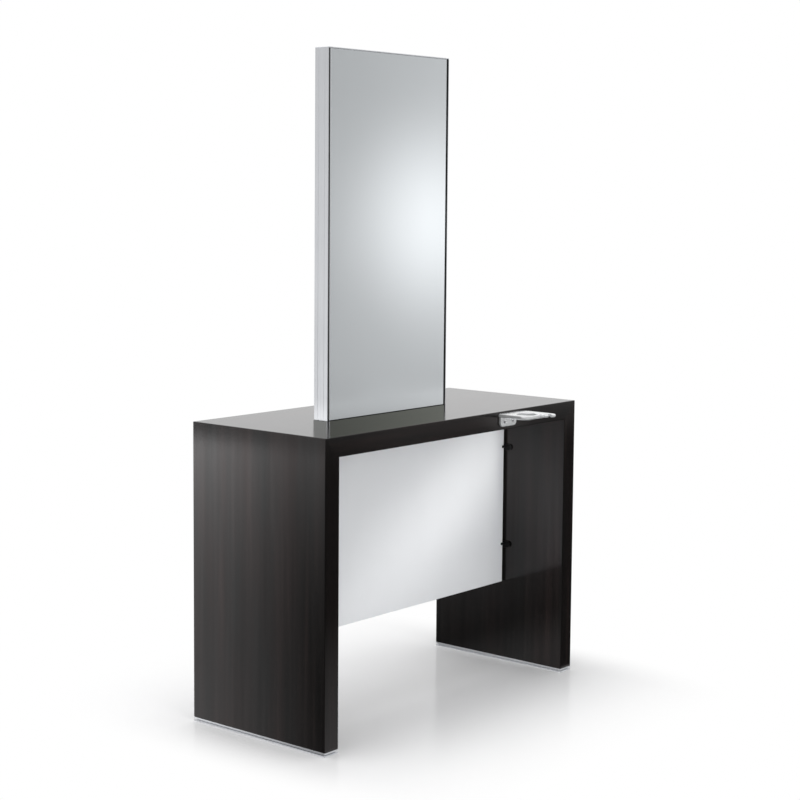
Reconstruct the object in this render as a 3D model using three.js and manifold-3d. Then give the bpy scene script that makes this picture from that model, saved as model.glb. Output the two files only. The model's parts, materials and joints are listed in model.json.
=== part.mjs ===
// Double sided salon station: a table of three mitred slabs, a mirror tower that stands on it,
// a white panel between the legs, and a cast tool holder on each long edge.
// Millimetres, +Z up, +X along the table. The front is -Y.
// The origin is on the floor, under the middle of the table.

import * as THREE from 'three';
import { mergeVertices } from 'three/addons/utils/BufferGeometryUtils.js';
import Module from 'manifold-3d';

const wasm = await Module();
wasm.setup();

// Driving dimensions of the table
const TABLE_LENGTH = 1200;
const TABLE_DEPTH = 520;
const TABLE_HEIGHT = 890;
const SLAB = 57;
const STRIP_HEIGHT = 12;
const SPLINE_THICKNESS = 5;
const SPLINE_WIDTH = 26;
const SPLINE_END_MARGIN = 40;
const SPLINE_INSET = 8;

// Driving dimensions of the mirror tower
const TOWER_WIDTH = 556;
const TOWER_DEPTH = 52;
const TOWER_HEIGHT = 1080;
const TOWER_OFFSET = -58;
const GLASS_THICKNESS = 5;
const GLASS_BEVEL = 2.5;
const GLASS_BEVEL_DEPTH = 1.5;
const PROFILE_WALL = 2.5;
const PROFILE_GROOVE_FROM_EDGE = 14;
const PROFILE_GROOVE_WIDTH = 1.4;
const PROFILE_GROOVE_DEPTH = 0.8;
const TRIM_WIDTH = 7;
const TRIM_RECESS = 1.5;
const CAP_THICKNESS = 3;
const CAP_CHAMFER = 0.8;
const BASE_PLATE_THICKNESS = 6;

// Driving dimensions of the white panel and its clips
const PANEL_THICKNESS = 54;
const PANEL_BOTTOM = 270;
const PANEL_GAP = 8;
const PANEL_EDGE_RADIUS = 5;
const PANEL_CHAMFER = 1.5;
const CLIP_HEIGHTS = [396, 721];
const CLIP_HEIGHT = 20;
const CLIP_EDGE = 1;
const CLIP_REACH = 25;
const CLIP_SCREW_FROM_END = 11;
const FINGER_LENGTH = 14;
const FINGER_THICKNESS = 5;
const FINGER_HEIGHT = 8;
const FINGER_RISE = 2;

// Driving dimensions of the tool holder, in its own plan:
// x runs along the table's edge from the large ring's centre, and outwards from the edge is -y.
const HOLDER_X = 241;
const HOLDER_DROP = 5.5;
const PLATE_LEFT = -56;
const PLATE_RIGHT = 70;
const PLATE_REACH = 104;
const PLATE_THICKNESS = 12;
const PLATE_RIM_RADIUS = 3.5;
const PLATE_RIM_STEPS = 3;
const PLATE_FRONT_RADIUS = 22;
const PLATE_REAR_RADIUS = 28;
const RING_CENTRE = [0, -66];
const RING_RADIUS = 32.5;
const NOTCH_RADIUS = 8;
const LOBE_RADIUS = 24;
const LOBE_CENTRE = [PLATE_RIGHT - LOBE_RADIUS, -PLATE_REACH - NOTCH_RADIUS];
const LOBE_THICKNESS = 8;
const LOBE_HOLE_RADIUS = 11;
const LOBE_SLOT_WIDTH = 10;
const LOBE_SLOT_ANGLE = THREE.MathUtils.degToRad(-125);
const FLANGE_LEFT = -53;
const FLANGE_RIGHT = 29;
const FLANGE_HEIGHT = 29;
const FLANGE_THICKNESS = 7;
const FLANGE_CORNER = 13;
const FLANGE_RIM_RADIUS = 1.5;
const HOLDER_SCREWS_X = [-34, 10];
const HOLDER_SCREW_DROP = 14;

// Driving dimensions of the feet and fasteners
const FOOT_Y = 190;
const FOOT_RADIUS = 15;
const FOOT_DISC = 5;
const FOOT_CONE = 3;
const FOOT_REST_GAP = 1;
const FOOT_POCKET_RADIUS = 17;
const FOOT_POCKET_DEPTH = 9.5;
const STUD_RADIUS = 5;
const STUD_TOP = 46;
const STUD_CHAMFER = 1;
const STRIP_BORE_RADIUS = 6.2;
const INSERT_RADIUS = 7;
const INSERT_LENGTH = 38;
const STRIP_SCREW_Y = 80;
const WOOD_SCREW = { head: 4, headDepth: 3, dome: 0.8, shank: 2, length: 30, socket: 1.6, socketDepth: 1.4 };
const TOWER_BOLT = { head: 8.5, headDepth: 8, shank: 5, length: 96, socket: 4.6, socketDepth: 5 };
const TOWER_BOLT_SPACING = 380;
const COUNTERBORE_RADIUS = 12;
const COUNTERBORE_DEPTH = 11;

// Gaps and facet counts
const MERGE_DISTANCE = 1e-4;
const CUT_OVERRUN = 1;
const GLUE_GAP = 0.2;
const FIT_GAP = 0.3;
const RING_SEGMENTS = 48;
const ROUND_SEGMENTS = 24;
const SCREW_SEGMENTS = 12;
const HEXAGON = 6;
const CURVE_SEGMENTS = 8;

// Levels and edges worked out from the driving dimensions
const HALF_LENGTH = TABLE_LENGTH / 2;
const HALF_DEPTH = TABLE_DEPTH / 2;
const INNER_HALF_LENGTH = HALF_LENGTH - SLAB;
const UNDERSIDE = TABLE_HEIGHT - SLAB;
const LEG_CENTRE_X = HALF_LENGTH - SLAB / 2;
const TOWER_TOP = TABLE_HEIGHT + TOWER_HEIGHT;
const TOWER_BODY_BOTTOM = TABLE_HEIGHT + GLUE_GAP;
const TOWER_BODY_TOP = TOWER_TOP - CAP_THICKNESS - GLUE_GAP;
const GLASS_WIDTH = TOWER_WIDTH - 2 * (PROFILE_WALL + TRIM_WIDTH);
const CORE_DEPTH = TOWER_DEPTH - 2 * (GLASS_THICKNESS + GLUE_GAP);
const CORE_WIDTH = TOWER_WIDTH - 2 * (PROFILE_WALL + GLUE_GAP);
const CORE_BOTTOM = TOWER_BODY_BOTTOM + BASE_PLATE_THICKNESS + GLUE_GAP;
const PANEL_HALF_WIDTH = INNER_HALF_LENGTH - PANEL_GAP;
const PANEL_TOP = UNDERSIDE - PANEL_GAP;
const CLIP_THICKNESS = PANEL_GAP - 2 * FIT_GAP;
const CLIP_HALF_LENGTH = PANEL_THICKNESS / 2 + CLIP_REACH;
const HOLDER_TOP = TABLE_HEIGHT - HOLDER_DROP;

// Joining and cutting of closed meshes

function solid(geometry) {
  const bare = geometry.clone();
  bare.deleteAttribute('normal');
  bare.deleteAttribute('uv');
  const merged = mergeVertices(bare, MERGE_DISTANCE);
  const corners = merged.index.array;
  const kept = [];
  for (let i = 0; i < corners.length; i += 3) {
    const [a, b, c] = corners.slice(i, i + 3);
    if (a !== b && b !== c && c !== a) kept.push(a, b, c);
  }
  const vertProperties = Float32Array.from(merged.attributes.position.array);
  const triVerts = Uint32Array.from(kept);
  return new wasm.Manifold(new wasm.Mesh({ numProp: 3, vertProperties, triVerts }));
}

function geometryOf(body) {
  const mesh = body.getMesh();
  const geometry = new THREE.BufferGeometry();
  geometry.setAttribute('position', new THREE.BufferAttribute(mesh.vertProperties, 3));
  geometry.setIndex(new THREE.BufferAttribute(mesh.triVerts, 1));
  return geometry;
}

function cutAll(body, cutters) {
  return cutters.reduce((left, cutter) => left.subtract(cutter), body);
}

// Basic forms

function block(low, high) {
  const size = high.map((value, axis) => value - low[axis]);
  const middle = high.map((value, axis) => (value + low[axis]) / 2);
  return new THREE.BoxGeometry(...size).translate(...middle);
}

function polygon(points) {
  return new THREE.Shape(points.map(([x, y]) => new THREE.Vector2(x, y)));
}

function roundedRectangle(halfWidth, halfHeight, radius) {
  const shape = new THREE.Shape();
  shape.absarc(halfWidth - radius, halfHeight - radius, radius, 0, Math.PI / 2);
  shape.absarc(radius - halfWidth, halfHeight - radius, radius, Math.PI / 2, Math.PI);
  shape.absarc(radius - halfWidth, radius - halfHeight, radius, Math.PI, 1.5 * Math.PI);
  shape.absarc(halfWidth - radius, radius - halfHeight, radius, 1.5 * Math.PI, 2 * Math.PI);
  return shape;
}

// A prism whose top and bottom edges are chamfered, or rounded where steps is over 1
function prism(shape, height, edge = 0, steps = 1, edgeDepth = edge) {
  const options = { depth: height - 2 * edgeDepth, curveSegments: CURVE_SEGMENTS, bevelEnabled: edge > 0 };
  const bevel = { bevelSize: edge, bevelOffset: -edge, bevelThickness: edgeDepth, bevelSegments: steps };
  return new THREE.ExtrudeGeometry(shape, { ...options, ...bevel }).translate(0, 0, edgeDepth);
}

// A section drawn in X and Z, carried along Y and centred on Y = 0
function alongY(shape, depth) {
  return prism(shape, depth).rotateX(Math.PI / 2).translate(0, depth / 2, 0);
}

// A profile of [radius, height] points turned about the Z axis
function turned(profile, segments) {
  const points = profile.map(([radius, height]) => new THREE.Vector2(radius, height));
  return new THREE.LatheGeometry(points, segments).rotateX(Math.PI / 2);
}

function rod(radius, low, high, segments) {
  return turned([[0, low], [radius, low], [radius, high], [0, high]], segments);
}

// Turns a form made along +Z so that it points along a direction, and puts its origin in place
function aimed(geometry, position, direction) {
  const turn = new THREE.Quaternion().setFromUnitVectors(new THREE.Vector3(0, 0, 1), direction);
  return geometry.applyQuaternion(turn).translate(...position);
}

// A countersunk screw with a hexagon socket, driven along -Z with its head at z = 0
function woodScrew() {
  const { head, headDepth, dome, shank, length, socket, socketDepth } = WOOD_SCREW;
  const profile = [[0, -length], [shank, shank - length], [shank, -headDepth], [head, 0], [0, dome]];
  const recess = rod(socket, -socketDepth, dome + CUT_OVERRUN, HEXAGON);
  return geometryOf(solid(turned(profile, SCREW_SEGMENTS)).subtract(solid(recess)));
}

// The hole that clears such a screw, open above its head
function screwHole() {
  const { head, headDepth, shank, length } = WOOD_SCREW;
  const tip = -length - FIT_GAP;
  const profile = [
    [0, tip],
    [shank + FIT_GAP, tip],
    [shank + FIT_GAP, -headDepth - FIT_GAP],
    [head + FIT_GAP, -FIT_GAP],
    [head + FIT_GAP, headDepth],
    [0, headDepth],
  ];
  return turned(profile, SCREW_SEGMENTS);
}

// Sub-parts of the scene

const station = new THREE.Group();

const FINISHES = {
  darkVeneer: { color: 0x2a2421, roughness: 0.42, metalness: 0 },
  brushedAluminium: { color: 0xc9cacb, roughness: 0.36, metalness: 1 },
  mirrorGlass: { color: 0xd9dcdd, roughness: 0.03, metalness: 1 },
  blackTrim: { color: 0x18181a, roughness: 0.5, metalness: 0 },
  whiteLacquer: { color: 0xe6e6e8, roughness: 0.35, metalness: 0 },
  polishedCasting: { color: 0xdadcde, roughness: 0.12, metalness: 1 },
  zincSteel: { color: 0x9c9fa3, roughness: 0.4, metalness: 1 },
  coreBoard: { color: 0xa98f6c, roughness: 0.8, metalness: 0 },
};

function add(name, body, finish, parent = station) {
  const mesh = new THREE.Mesh(geometryOf(body), new THREE.MeshStandardMaterial(FINISHES[finish]));
  mesh.name = name;
  parent.add(mesh);
}

const SIDES = [['left', -1], ['right', 1]];
const ENDS = [['front', -1], ['rear', 1]];

// Mitre splines: a thin tongue across each mitre, set towards the inner corner

function spline(side, gap) {
  const length = TABLE_DEPTH - 2 * SPLINE_END_MARGIN + 2 * gap;
  const across = SPLINE_WIDTH + 2 * gap;
  const tongue = new THREE.BoxGeometry(across, length, SPLINE_THICKNESS + 2 * gap);
  const inset = SPLINE_INSET * Math.SQRT1_2;
  const x = side * (LEG_CENTRE_X - inset);
  const z = TABLE_HEIGHT - SLAB / 2 - inset;
  return solid(tongue.rotateY(side * Math.PI / 4).translate(x, 0, z));
}

for (const [sideName, side] of SIDES) {
  add(`${sideName}_mitre_spline`, spline(side, 0), 'coreBoard');
}

// Feet: a disc on a stud in a threaded insert, inside a pocket of the foot strip

const FOOT_PROFILE = [
  [0, FOOT_REST_GAP],
  [FOOT_RADIUS, FOOT_REST_GAP],
  [FOOT_RADIUS, FOOT_REST_GAP + FOOT_DISC],
  [STUD_RADIUS, FOOT_REST_GAP + FOOT_DISC + FOOT_CONE],
  [STUD_RADIUS, STUD_TOP - STUD_CHAMFER],
  [STUD_RADIUS - STUD_CHAMFER, STUD_TOP],
  [0, STUD_TOP],
];
const INSERT_BOTTOM = STRIP_HEIGHT + GLUE_GAP;
const INSERT_BORE = STUD_RADIUS + FIT_GAP;
const INSERT_WALL = INSERT_RADIUS - FIT_GAP;
const INSERT_PROFILE = [
  [INSERT_BORE, INSERT_BOTTOM],
  [INSERT_WALL, INSERT_BOTTOM],
  [INSERT_WALL, INSERT_BOTTOM + INSERT_LENGTH],
  [INSERT_BORE, INSERT_BOTTOM + INSERT_LENGTH],
  [INSERT_BORE, INSERT_BOTTOM],
];

function atStripScrew(side, end, form) {
  const position = [side * LEG_CENTRE_X, end * STRIP_SCREW_Y, WOOD_SCREW.dome + 2 * FIT_GAP];
  return solid(aimed(form, position, new THREE.Vector3(0, 0, -1)));
}

for (const [sideName, side] of SIDES) {
  const x = side * LEG_CENTRE_X;
  for (const [endName, end] of ENDS) {
    const y = end * FOOT_Y;
    const place = `${endName}_${sideName}`;
    const foot = turned(FOOT_PROFILE, ROUND_SEGMENTS).translate(x, y, 0);
    const insert = turned(INSERT_PROFILE, ROUND_SEGMENTS).translate(x, y, 0);
    add(`levelling_foot_${place}`, solid(foot), 'zincSteel');
    add(`foot_insert_${place}`, solid(insert), 'zincSteel');
    add(`foot_strip_screw_${place}`, atStripScrew(side, end, woodScrew()), 'zincSteel');
  }
}

// Foot strips: flat bars flush with the legs, with a pocket and a bore for each levelling foot

function footStrip(side) {
  const x = side * LEG_CENTRE_X;
  const low = [x - SLAB / 2, -HALF_DEPTH, 0];
  const high = [x + SLAB / 2, HALF_DEPTH, STRIP_HEIGHT - GLUE_GAP];
  const cutters = ENDS.flatMap(([, end]) => {
    const pocket = rod(FOOT_POCKET_RADIUS, -CUT_OVERRUN, FOOT_POCKET_DEPTH, ROUND_SEGMENTS);
    const bore = rod(STRIP_BORE_RADIUS, 0, STRIP_HEIGHT + CUT_OVERRUN, ROUND_SEGMENTS);
    const atFoot = [pocket, bore].map((hole) => solid(hole.translate(x, end * FOOT_Y, 0)));
    return [...atFoot, atStripScrew(side, end, screwHole())];
  });
  return cutAll(solid(block(low, high)), cutters);
}

for (const [sideName, side] of SIDES) {
  add(`${sideName}_foot_strip`, footStrip(side), 'brushedAluminium');
}

// Clips: a round-ended plate on the leg, with a finger over each face of the white panel

const CLIP_SCREWS_Y = CLIP_HALF_LENGTH - CLIP_SCREW_FROM_END;

function clip(side, level) {
  const outline = roundedRectangle(CLIP_HALF_LENGTH, CLIP_HEIGHT / 2, CLIP_HEIGHT / 2);
  const plate = prism(outline, CLIP_THICKNESS, CLIP_EDGE);
  plate.rotateZ(Math.PI / 2).rotateY(Math.PI / 2).translate(PANEL_HALF_WIDTH + FIT_GAP, 0, level);
  const near = PANEL_THICKNESS / 2 + FIT_GAP;
  const low = level + FINGER_RISE - FINGER_HEIGHT / 2;
  const fingers = ENDS.map(([, end]) => {
    const edges = [end * near, end * (near + FINGER_THICKNESS)].sort((a, b) => a - b);
    const start = [PANEL_HALF_WIDTH - FINGER_LENGTH, edges[0], low];
    const stop = [PANEL_HALF_WIDTH + CLIP_THICKNESS / 2, edges[1], low + FINGER_HEIGHT];
    return solid(block(start, stop));
  });
  const right = fingers.reduce((whole, finger) => whole.add(finger), solid(plate));
  const holes = ENDS.map(([, end]) => atClipScrew(1, level, end, screwHole()));
  const cut = cutAll(right, holes);
  return side > 0 ? cut : solid(geometryOf(cut).rotateZ(Math.PI));
}

function atClipScrew(side, level, end, form) {
  const headX = PANEL_HALF_WIDTH + WOOD_SCREW.dome + FIT_GAP;
  const position = [side * headX, end * CLIP_SCREWS_Y, level];
  return solid(aimed(form, position, new THREE.Vector3(-side, 0, 0)));
}

// Tool holder: one casting of a plate with a large ring, a small open ring and a fixing flange.
// It is drawn in its own plan, with the plate's top at z = 0 and the table's edge at y = 0.

function plateOutline() {
  const [lobeX, lobeY] = LOBE_CENTRE;
  const lobeLeft = lobeX - LOBE_RADIUS;
  const front = PLATE_FRONT_RADIUS;
  const rear = PLATE_REAR_RADIUS;
  const shape = new THREE.Shape();
  shape.moveTo(PLATE_LEFT, -FIT_GAP);
  shape.lineTo(PLATE_LEFT, front - PLATE_REACH);
  shape.absarc(PLATE_LEFT + front, front - PLATE_REACH, front, Math.PI, 1.5 * Math.PI);
  shape.absarc(lobeLeft - NOTCH_RADIUS, -PLATE_REACH - NOTCH_RADIUS, NOTCH_RADIUS, Math.PI / 2, 0, true);
  shape.absarc(lobeX, lobeY, LOBE_RADIUS, Math.PI, 2 * Math.PI);
  shape.absarc(PLATE_RIGHT - rear, -FIT_GAP - rear, rear, 0, Math.PI / 2);
  shape.closePath();
  return shape;
}

function flangeOutline() {
  const bottom = -PLATE_THICKNESS - FLANGE_HEIGHT;
  const corner = FLANGE_CORNER;
  const shape = new THREE.Shape();
  shape.moveTo(FLANGE_RIGHT, -PLATE_THICKNESS / 2);
  shape.lineTo(FLANGE_LEFT, -PLATE_THICKNESS / 2);
  shape.absarc(FLANGE_LEFT + corner, bottom + corner, corner, Math.PI, 1.5 * Math.PI);
  shape.absarc(FLANGE_RIGHT - corner, bottom + corner, corner, 1.5 * Math.PI, 2 * Math.PI);
  shape.closePath();
  return shape;
}

function atHolderScrew(x, form) {
  const position = [x, -FLANGE_THICKNESS - FIT_GAP, -PLATE_THICKNESS - HOLDER_SCREW_DROP];
  return aimed(form, position, new THREE.Vector3(0, -1, 0));
}

function holderCasting() {
  const under = -PLATE_THICKNESS - CUT_OVERRUN;
  const over = CUT_OVERRUN;
  const plateForm = prism(plateOutline(), PLATE_THICKNESS, PLATE_RIM_RADIUS, PLATE_RIM_STEPS);
  const plate = solid(plateForm.translate(0, 0, -PLATE_THICKNESS));
  const flangeForm = prism(flangeOutline(), FLANGE_THICKNESS, FLANGE_RIM_RADIUS);
  const flange = solid(flangeForm.rotateX(Math.PI / 2).translate(0, -FIT_GAP, 0));
  const [lobeX, lobeY] = LOBE_CENTRE;
  const ring = rod(RING_RADIUS, under, over, RING_SEGMENTS).translate(...RING_CENTRE, 0);
  const lobeHole = rod(LOBE_HOLE_RADIUS, under, over, ROUND_SEGMENTS).translate(lobeX, lobeY, 0);
  const slot = block([0, -LOBE_SLOT_WIDTH / 2, under], [2 * LOBE_RADIUS, LOBE_SLOT_WIDTH / 2, over]);
  slot.rotateZ(LOBE_SLOT_ANGLE).translate(lobeX, lobeY, 0);
  const reliefLow = [lobeX - LOBE_RADIUS - NOTCH_RADIUS, lobeY - LOBE_RADIUS - CUT_OVERRUN, under];
  const reliefHigh = [PLATE_RIGHT + CUT_OVERRUN, -PLATE_REACH + PLATE_RIM_RADIUS, -LOBE_THICKNESS];
  const relief = block(reliefLow, reliefHigh);
  const screwHoles = HOLDER_SCREWS_X.map((x) => atHolderScrew(x, screwHole()));
  return cutAll(plate.add(flange), [ring, lobeHole, slot, relief, ...screwHoles].map(solid));
}

// Puts a form of the holder's plan at the front edge, or turned about at the rear edge
function atTableEdge(end, geometry) {
  geometry.translate(0, -HALF_DEPTH, HOLDER_TOP);
  if (end > 0) {
    geometry.rotateZ(Math.PI);
  }
  return solid(geometry.translate(HOLDER_X, 0, 0));
}

for (const [endName, end] of ENDS) {
  add(`${endName}_tool_holder`, atTableEdge(end, geometryOf(holderCasting())), 'polishedCasting');
  HOLDER_SCREWS_X.forEach((x, index) => {
    add(`${endName}_holder_screw_${index + 1}`, atTableEdge(end, atHolderScrew(x, woodScrew())), 'zincSteel');
  });
}

// Clips in place, two at each leg

for (const [sideName, side] of SIDES) {
  CLIP_HEIGHTS.forEach((level, index) => {
    const place = `${sideName}_${index === 0 ? 'lower' : 'upper'}`;
    add(`panel_clip_${place}`, clip(side, level), 'blackTrim');
    for (const [endName, end] of ENDS) {
      add(`clip_screw_${place}_${endName}`, atClipScrew(side, level, end, woodScrew()), 'blackTrim');
    }
  });
}

// White panel: a board with softly rounded upright edges, held clear of the table all round

const panelOutline = roundedRectangle(PANEL_HALF_WIDTH, PANEL_THICKNESS / 2, PANEL_EDGE_RADIUS);
const panelForm = prism(panelOutline, PANEL_TOP - PANEL_BOTTOM, PANEL_CHAMFER);
add('modesty_panel', solid(panelForm.translate(0, 0, PANEL_BOTTOM)), 'whiteLacquer');

// Tower bolts: socket heads in counterbores under the worktop, threaded into the core board.
// They are drawn round the tower's own middle.

const BOLT_HEAD_BOTTOM = UNDERSIDE + COUNTERBORE_DEPTH - TOWER_BOLT.headDepth - GLUE_GAP;
const BOLT_TOP = BOLT_HEAD_BOTTOM + TOWER_BOLT.headDepth + TOWER_BOLT.length;

function towerBolt(side) {
  const { head, headDepth, shank, socket, socketDepth } = TOWER_BOLT;
  const neck = BOLT_HEAD_BOTTOM + headDepth;
  const profile = [
    [0, BOLT_HEAD_BOTTOM],
    [head, BOLT_HEAD_BOTTOM],
    [head, neck],
    [shank, neck],
    [shank, BOLT_TOP],
    [0, BOLT_TOP],
  ];
  const recess = rod(socket, BOLT_HEAD_BOTTOM - CUT_OVERRUN, BOLT_HEAD_BOTTOM + socketDepth, HEXAGON);
  const bolt = solid(turned(profile, ROUND_SEGMENTS)).subtract(solid(recess));
  return solid(geometryOf(bolt).translate(side * TOWER_BOLT_SPACING / 2, 0, 0));
}

function boltBores(towerMiddle) {
  return SIDES.flatMap(([, side]) => [
    rod(TOWER_BOLT.shank + FIT_GAP, UNDERSIDE - CUT_OVERRUN, BOLT_TOP + CUT_OVERRUN, ROUND_SEGMENTS),
    rod(COUNTERBORE_RADIUS, UNDERSIDE - CUT_OVERRUN, UNDERSIDE + COUNTERBORE_DEPTH, ROUND_SEGMENTS),
  ].map((bore) => solid(bore.translate(towerMiddle + side * TOWER_BOLT_SPACING / 2, 0, 0))));
}

// Worktop and legs: sections in X and Z with 45 degree mitres, carried across the table

const mitreGap = GLUE_GAP * Math.SQRT2;
const topSection = polygon([
  [-HALF_LENGTH + mitreGap, TABLE_HEIGHT],
  [-INNER_HALF_LENGTH + mitreGap, UNDERSIDE],
  [INNER_HALF_LENGTH - mitreGap, UNDERSIDE],
  [HALF_LENGTH - mitreGap, TABLE_HEIGHT],
]);
const splineSlots = SIDES.map(([, side]) => spline(side, FIT_GAP));
const holderScrewHoles = ENDS.flatMap(([, end]) => (
  HOLDER_SCREWS_X.map((x) => atTableEdge(end, atHolderScrew(x, screwHole())))
));
const topCuts = [...splineSlots, ...boltBores(TOWER_OFFSET), ...holderScrewHoles];
add('worktop', cutAll(solid(alongY(topSection, TABLE_DEPTH)), topCuts), 'darkVeneer');

function leg(side) {
  const section = polygon([
    [side * INNER_HALF_LENGTH, STRIP_HEIGHT],
    [side * HALF_LENGTH, STRIP_HEIGHT],
    [side * HALF_LENGTH, TABLE_HEIGHT],
    [side * INNER_HALF_LENGTH, UNDERSIDE],
  ]);
  const insertTop = INSERT_BOTTOM + INSERT_LENGTH + FIT_GAP;
  const cutters = [spline(side, FIT_GAP)];
  for (const [, end] of ENDS) {
    const bore = rod(INSERT_RADIUS, STRIP_HEIGHT - CUT_OVERRUN, insertTop, ROUND_SEGMENTS);
    cutters.push(solid(bore.translate(side * LEG_CENTRE_X, end * FOOT_Y, 0)));
    cutters.push(atStripScrew(side, end, screwHole()));
    CLIP_HEIGHTS.forEach((level) => cutters.push(atClipScrew(side, level, end, screwHole())));
  }
  return cutAll(solid(alongY(section, TABLE_DEPTH)), cutters);
}

for (const [sideName, side] of SIDES) {
  add(`${sideName}_leg`, leg(side), 'darkVeneer');
}

// Mirror tower: a core board on a steel base plate, a mirror on each face, a grooved profile on
// each side, a recessed black trim beside each upright mirror edge, and a thin cap

const tower = new THREE.Group();
tower.position.set(TOWER_OFFSET, 0, 0);
station.add(tower);

for (const [sideName, side] of SIDES) {
  add(`tower_bolt_${sideName}`, towerBolt(side), 'zincSteel', tower);
}

const coreLow = [-CORE_WIDTH / 2, -CORE_DEPTH / 2, CORE_BOTTOM];
const coreHigh = [CORE_WIDTH / 2, CORE_DEPTH / 2, TOWER_BODY_TOP];
add('tower_core', cutAll(solid(block(coreLow, coreHigh)), boltBores(0)), 'coreBoard', tower);

const baseLow = [-CORE_WIDTH / 2, -CORE_DEPTH / 2, TOWER_BODY_BOTTOM];
const baseHigh = [CORE_WIDTH / 2, CORE_DEPTH / 2, TOWER_BODY_BOTTOM + BASE_PLATE_THICKNESS];
add('tower_base_plate', cutAll(solid(block(baseLow, baseHigh)), boltBores(0)), 'zincSteel', tower);

const bodyHeight = TOWER_BODY_TOP - TOWER_BODY_BOTTOM;

// Mirror glass with a polished bevel round its front face, which points along -Y
function mirror(end) {
  const halfWidth = GLASS_WIDTH / 2;
  const pane = polygon([
    [-halfWidth, TOWER_BODY_BOTTOM],
    [halfWidth, TOWER_BODY_BOTTOM],
    [halfWidth, TOWER_BODY_TOP],
    [-halfWidth, TOWER_BODY_TOP],
  ]);
  const squareBack = prism(pane, GLASS_THICKNESS - GLASS_BEVEL_DEPTH);
  const bevelled = prism(pane, GLASS_THICKNESS, GLASS_BEVEL, 1, GLASS_BEVEL_DEPTH);
  const glass = geometryOf(solid(squareBack).add(solid(bevelled)));
  glass.rotateX(Math.PI / 2).translate(0, GLASS_THICKNESS - TOWER_DEPTH / 2, 0);
  return solid(end < 0 ? glass : glass.rotateZ(Math.PI));
}

function grooveAt(y) {
  const half = PROFILE_GROOVE_WIDTH / 2;
  return [[0, y - half], [PROFILE_GROOVE_DEPTH, y], [0, y + half]];
}

// Side profile: its section has the wall's outer face at x = 0, with a groove near each edge
function sideProfile(side) {
  const half = TOWER_DEPTH / 2;
  const grooveY = half - PROFILE_GROOVE_FROM_EDGE;
  const section = polygon([
    [PROFILE_WALL, half],
    [PROFILE_WALL, -half],
    [0, -half],
    ...grooveAt(-grooveY),
    ...grooveAt(grooveY),
    [0, half],
  ]);
  const form = prism(section, bodyHeight).translate(-TOWER_WIDTH / 2, 0, TOWER_BODY_BOTTOM);
  return solid(side < 0 ? form : form.rotateZ(Math.PI));
}

// Black trim beside the glass, set back from the front plane
function edgeTrim(side, end) {
  const depth = GLASS_THICKNESS - TRIM_RECESS;
  const trim = new THREE.BoxGeometry(TRIM_WIDTH - GLUE_GAP, depth, bodyHeight);
  const x = side * (GLASS_WIDTH + TRIM_WIDTH) / 2;
  const y = end * (TOWER_DEPTH / 2 - TRIM_RECESS - depth / 2);
  return solid(trim.translate(x, y, TOWER_BODY_BOTTOM + bodyHeight / 2));
}

for (const [endName, end] of ENDS) {
  add(`${endName}_mirror`, mirror(end), 'mirrorGlass', tower);
  for (const [sideName, side] of SIDES) {
    add(`edge_trim_${endName}_${sideName}`, edgeTrim(side, end), 'blackTrim', tower);
  }
}
for (const [sideName, side] of SIDES) {
  add(`tower_${sideName}_profile`, sideProfile(side), 'brushedAluminium', tower);
}

const capOutline = roundedRectangle(TOWER_WIDTH / 2, TOWER_DEPTH / 2, CAP_CHAMFER);
const capForm = prism(capOutline, CAP_THICKNESS, CAP_CHAMFER / 2);
add('tower_cap', solid(capForm.translate(0, 0, TOWER_TOP - CAP_THICKNESS)), 'brushedAluminium', tower);

export default station;
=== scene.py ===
# %% [markdown]
# # A double sided salon station
# A dark table of mitred slabs carries a mirror tower that can be used from both sides. A white panel
# closes the space between the legs, and a cast holder for hot tools is screwed to each long edge.
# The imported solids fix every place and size. This lesson dresses them: each piece that shows gets
# eased edges, and each surface gets a finish of its own.

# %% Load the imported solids
import json

import bmesh
import bpy
import numpy as np
from mathutils import Matrix, Vector


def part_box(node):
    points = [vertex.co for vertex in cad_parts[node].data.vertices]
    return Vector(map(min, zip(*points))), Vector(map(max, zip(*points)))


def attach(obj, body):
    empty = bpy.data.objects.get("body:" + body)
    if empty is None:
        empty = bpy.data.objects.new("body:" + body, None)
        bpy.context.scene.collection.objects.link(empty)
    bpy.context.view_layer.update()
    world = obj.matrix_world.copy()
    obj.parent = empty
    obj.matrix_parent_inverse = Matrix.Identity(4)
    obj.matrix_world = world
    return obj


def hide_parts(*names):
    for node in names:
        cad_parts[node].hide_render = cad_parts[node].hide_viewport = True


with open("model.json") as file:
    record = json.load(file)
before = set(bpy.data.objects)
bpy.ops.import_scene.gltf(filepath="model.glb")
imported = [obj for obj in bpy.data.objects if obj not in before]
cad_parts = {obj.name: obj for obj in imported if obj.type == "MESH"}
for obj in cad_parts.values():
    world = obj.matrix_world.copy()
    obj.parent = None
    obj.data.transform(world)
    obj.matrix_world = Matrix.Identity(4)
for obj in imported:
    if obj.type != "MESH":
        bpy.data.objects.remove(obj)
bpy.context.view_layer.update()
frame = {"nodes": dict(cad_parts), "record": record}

# %% [markdown]
# ## Camera
# The picture was taken from the left front, a little above the worktop, with a long lens. A camera
# set by eye would miss the picture's edges by many pixels, so place, angles and lens come from a fit
# of the table's straight edges. Yaw turns from +Y towards +X, pitch tips the lens down.

# %% Camera
CAMERA_PLACE = (-4.0911, -3.4236, 1.5674)
CAMERA_YAW = 0.8770
CAMERA_PITCH = 0.0976
CAMERA_ROLL = 0.0081
CAMERA_LENS = 78.80
CAMERA_RISE = -0.05


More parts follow.
